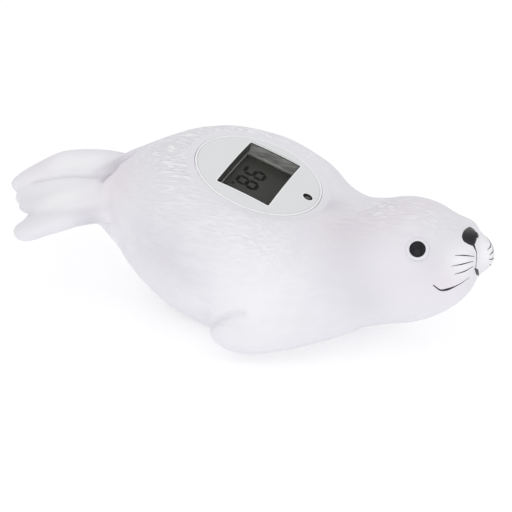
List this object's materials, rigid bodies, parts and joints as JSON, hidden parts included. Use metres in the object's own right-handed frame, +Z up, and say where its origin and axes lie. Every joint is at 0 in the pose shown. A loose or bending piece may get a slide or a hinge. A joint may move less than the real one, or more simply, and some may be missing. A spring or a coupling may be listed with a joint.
{
  "type": "bath thermometer",
  "caption": "Floating baby bath thermometer shaped as a resting seal pup, with a round display cover on its back and a battery foot with a steel sensor in its belly.",
  "frame": {"origin": "on the floor under the middle of the pup's length and width, where its flat belly rests", "axes": "+X from tail to nose, +Y to the pup's left, +Z up"},
  "size_m": [0.1674, 0.0788, 0.0536],
  "materials": {
    "white_vinyl": "soft satin vinyl, white with a faint lavender tint",
    "gloss_black": "polished black",
    "white_abs": "smooth satin moulding",
    "clear_acrylic": "clear, polished",
    "lcd_grey": "dark display glass",
    "board_green": "solder mask",
    "black_rubber": "matt",
    "black_epoxy": "cast resin",
    "steel": "bright",
    "brass": "plain",
    "led_red": "unlit lamp, clear dark red",
    "red_wire": "wire insulation",
    "black_wire": "wire insulation"
  },
  "bodies": {
    "root": {"seal_body": "white_vinyl", "eye_left": "gloss_black", "eye_right": "gloss_black", "top_cover": "white_abs", "display_lens": "clear_acrylic", "lcd_panel": "lcd_grey", "lcd_holder": "white_abs", "zebra_strip_front": "black_rubber", "zebra_strip_rear": "black_rubber", "circuit_board": "board_green", "board_screw_left": "steel", "board_screw_right": "steel", "chip_blob": "black_epoxy", "crystal_can": "steel", "alarm_led": "led_red", "module_cup": "white_abs", "housing_seal": "black_rubber", "housing_screw_1": "steel", "housing_screw_2": "steel", "housing_screw_3": "steel", "button_cell_left": "steel", "button_cell_right": "steel", "cell_contact_left": "brass", "cell_contact_right": "brass", "link_contact": "brass", "battery_door": "white_abs", "door_seal": "black_rubber", "door_screw": "steel", "sensor_cap": "steel", "thermistor": "black_epoxy", "battery_lead_left": "red_wire", "battery_lead_right": "black_wire", "sensor_lead": "black_wire"}
  },
  "joints": []
}
